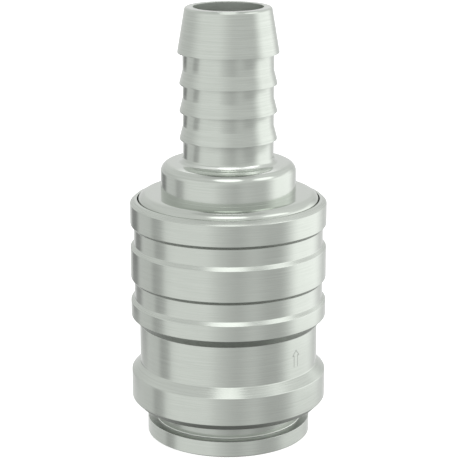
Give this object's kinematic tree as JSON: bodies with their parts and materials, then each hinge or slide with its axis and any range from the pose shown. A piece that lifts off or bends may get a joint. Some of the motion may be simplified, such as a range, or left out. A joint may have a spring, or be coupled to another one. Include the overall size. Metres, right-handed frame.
{
  "type": "hose quick coupling",
  "caption": "Automatic hose quick coupling socket with a barbed hose tail, a sliding ribbed sleeve, a ball lock and a shut-off poppet.",
  "frame": {"origin": "centre of the front ring's face, which is the bottom of the part", "axes": "+Z along the axis from the socket's mouth to the end of the hose tail"},
  "size_m": [0.0273, 0.0272, 0.0605],
  "materials": {
    "turned_steel": "satin turned stainless steel",
    "spring_steel": "drawn spring wire and pressed washer",
    "ball_steel": "ground and polished",
    "poppet_brass": "turned",
    "seal_rubber": "moulded nitrile rubber",
    "gasket": "flat cut gasket"
  },
  "bodies": {
    "socket": {"body": "turned_steel", "hose_tail": "turned_steel", "tail_gasket": "gasket", "plug_seal": "seal_rubber", "spring_washer": "spring_steel"},
    "locking_sleeve": {"sleeve": "turned_steel", "sleeve_spring": "spring_steel"},
    "valve": {"poppet": "poppet_brass", "poppet_seal": "seal_rubber", "poppet_spring": "spring_steel"},
    "ball_1": {"lock_ball_1": "ball_steel"},
    "ball_2": {"lock_ball_2": "ball_steel"},
    "ball_3": {"lock_ball_3": "ball_steel"},
    "ball_4": {"lock_ball_4": "ball_steel"},
    "ball_5": {"lock_ball_5": "ball_steel"},
    "ball_6": {"lock_ball_6": "ball_steel"},
    "ball_7": {"lock_ball_7": "ball_steel"},
    "ball_8": {"lock_ball_8": "ball_steel"},
    "ball_9": {"lock_ball_9": "ball_steel"},
    "ball_10": {"lock_ball_10": "ball_steel"}
  },
  "joints": [
    {"name": "sleeve_slide", "type": "slide", "parent": "socket", "child": "locking_sleeve", "axis": [0, 0, -1], "range_m": [0, 0.00225], "stiffness_N_per_m": 1500, "springref_m": 0.006, "deforming": ["sleeve_spring"]},
    {"name": "poppet_slide", "type": "slide", "parent": "socket", "child": "valve", "axis": [0, 0, 1], "range_m": [0, 0.00788], "stiffness_N_per_m": 1000, "springref_m": -0.0064, "deforming": ["poppet_spring"]},
    {"name": "lock_ball_1_slide", "type": "slide", "parent": "socket", "child": "ball_1", "axis": [-0.809, -0.5878, 0], "range_m": [0, 0.00101]},
    {"name": "lock_ball_2_slide", "type": "slide", "parent": "socket", "child": "ball_2", "axis": [-0.309, -0.9511, 0], "range_m": [0, 0.00101]},
    {"name": "lock_ball_3_slide", "type": "slide", "parent": "socket", "child": "ball_3", "axis": [0.309, -0.9511, 0], "range_m": [0, 0.00101]},
    {"name": "lock_ball_4_slide", "type": "slide", "parent": "socket", "child": "ball_4", "axis": [0.809, -0.5878, 0], "range_m": [0, 0.00101]},
    {"name": "lock_ball_5_slide", "type": "slide", "parent": "socket", "child": "ball_5", "axis": [1, 0, 0], "range_m": [0, 0.00101]},
    {"name": "lock_ball_6_slide", "type": "slide", "parent": "socket", "child": "ball_6", "axis": [0.809, 0.5878, 0], "range_m": [0, 0.00101]},
    {"name": "lock_ball_7_slide", "type": "slide", "parent": "socket", "child": "ball_7", "axis": [0.309, 0.9511, 0], "range_m": [0, 0.00101]},
    {"name": "lock_ball_8_slide", "type": "slide", "parent": "socket", "child": "ball_8", "axis": [-0.309, 0.9511, 0], "range_m": [0, 0.00101]},
    {"name": "lock_ball_9_slide", "type": "slide", "parent": "socket", "child": "ball_9", "axis": [-0.809, 0.5878, 0], "range_m": [0, 0.00101]},
    {"name": "lock_ball_10_slide", "type": "slide", "parent": "socket", "child": "ball_10", "axis": [-1, 0, 0], "range_m": [0, 0.00101]}
  ],
  "couplings": [
    {"joint": "poppet_slide", "follows": "sleeve_slide", "ratio": 3.5},
    {"joint": "lock_ball_1_slide", "follows": "sleeve_slide", "ratio": 0.45},
    {"joint": "lock_ball_2_slide", "follows": "sleeve_slide", "ratio": 0.45},
    {"joint": "lock_ball_3_slide", "follows": "sleeve_slide", "ratio": 0.45},
    {"joint": "lock_ball_4_slide", "follows": "sleeve_slide", "ratio": 0.45},
    {"joint": "lock_ball_5_slide", "follows": "sleeve_slide", "ratio": 0.45},
    {"joint": "lock_ball_6_slide", "follows": "sleeve_slide", "ratio": 0.45},
    {"joint": "lock_ball_7_slide", "follows": "sleeve_slide", "ratio": 0.45},
    {"joint": "lock_ball_8_slide", "follows": "sleeve_slide", "ratio": 0.45},
    {"joint": "lock_ball_9_slide", "follows": "sleeve_slide", "ratio": 0.45},
    {"joint": "lock_ball_10_slide", "follows": "sleeve_slide", "ratio": 0.45}
  ]
}
